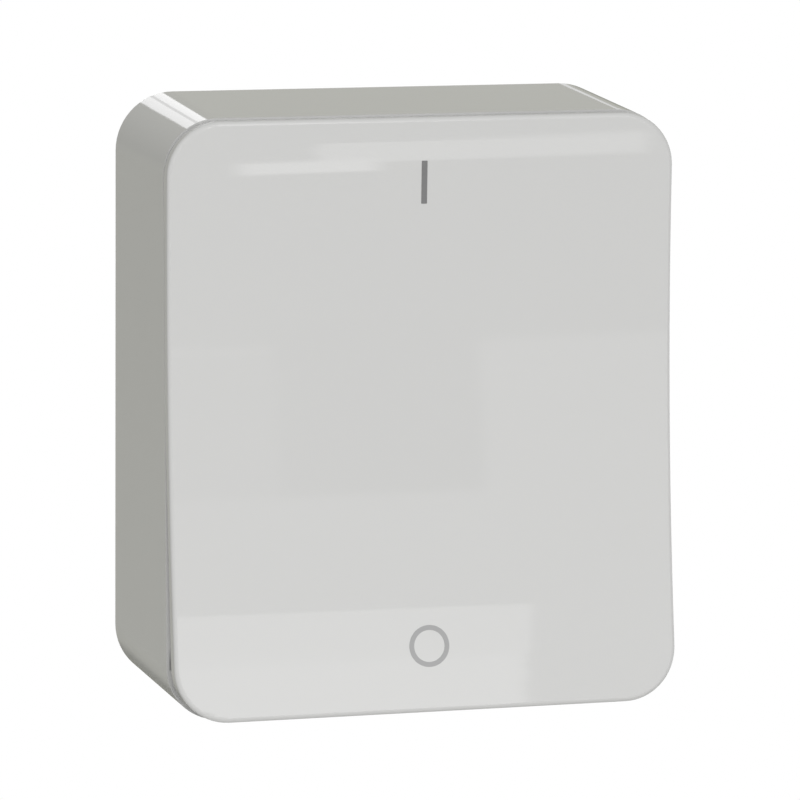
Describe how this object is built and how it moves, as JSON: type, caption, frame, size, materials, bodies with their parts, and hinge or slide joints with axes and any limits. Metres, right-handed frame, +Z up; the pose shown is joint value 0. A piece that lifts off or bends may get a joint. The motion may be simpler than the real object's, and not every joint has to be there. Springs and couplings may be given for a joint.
{
  "type": "surface-mounted light switch",
  "caption": "Wall-mounted light switch: a rounded box housing whose whole front is one hollow-faced rocker that tilts between on and off.",
  "frame": {"origin": "centre of the back face, on the wall plane", "axes": "+Z up, +Y into the wall, so the rocker faces -Y; +X to the right of someone who faces the switch"},
  "size_m": [0.0672, 0.0333, 0.0774],
  "materials": {
    "white_plastic": "glossy moulded white",
    "plate_plastic": "moulded white, matt",
    "tray_plastic": "moulded thermoset, matt",
    "cradle_plastic": "moulded natural, satin",
    "brass": "stamped, bright",
    "contact_silver": "silver alloy, satin",
    "zinc_steel": "zinc plated",
    "spring_steel": "drawn wire"
  },
  "bodies": {
    "base": {"wall_plate": "plate_plastic", "housing": "white_plastic", "housing_screws": "zinc_steel", "mechanism_body": "tray_plastic", "mechanism_cover": "tray_plastic", "mechanism_screws": "zinc_steel", "cover_screws": "zinc_steel", "line_terminal_left": "brass", "line_terminal_right": "brass", "load_terminal_left": "brass", "load_terminal_right": "brass", "terminal_screws": "zinc_steel", "pivot_contact_left": "brass", "pivot_contact_right": "brass", "fixed_contact_left": "brass", "fixed_contact_right": "brass", "fixed_contact_tip_left": "contact_silver", "fixed_contact_tip_right": "contact_silver", "earth_terminal": "brass", "earth_terminal_screw": "zinc_steel"},
    "rocker": {"rocker_cap": "white_plastic", "rocker_cradle": "cradle_plastic", "plunger_left": "cradle_plastic", "plunger_right": "cradle_plastic", "plunger_spring_left": "spring_steel", "plunger_spring_right": "spring_steel"},
    "contact_left": {"contact_lever_left": "brass", "moving_contact_tip_left": "contact_silver"},
    "contact_right": {"contact_lever_right": "brass", "moving_contact_tip_right": "contact_silver"}
  },
  "joints": [
    {"name": "rocker_tilt", "type": "hinge", "parent": "base", "child": "rocker", "pos_m": [0, -0.023, 0], "axis": [1, 0, 0], "range_deg": [0, 4.8]},
    {"name": "contact_left_tilt", "type": "hinge", "parent": "base", "child": "contact_left", "pos_m": [-0.0111, -0.008, 0], "axis": [1, 0, 0], "range_deg": [-9.6, 0]},
    {"name": "contact_right_tilt", "type": "hinge", "parent": "base", "child": "contact_right", "pos_m": [0.0111, -0.008, 0], "axis": [1, 0, 0], "range_deg": [-9.6, 0]}
  ],
  "couplings": [
    {"joint": "contact_left_tilt", "follows": "rocker_tilt", "ratio": -2},
    {"joint": "contact_right_tilt", "follows": "rocker_tilt", "ratio": -2}
  ]
}
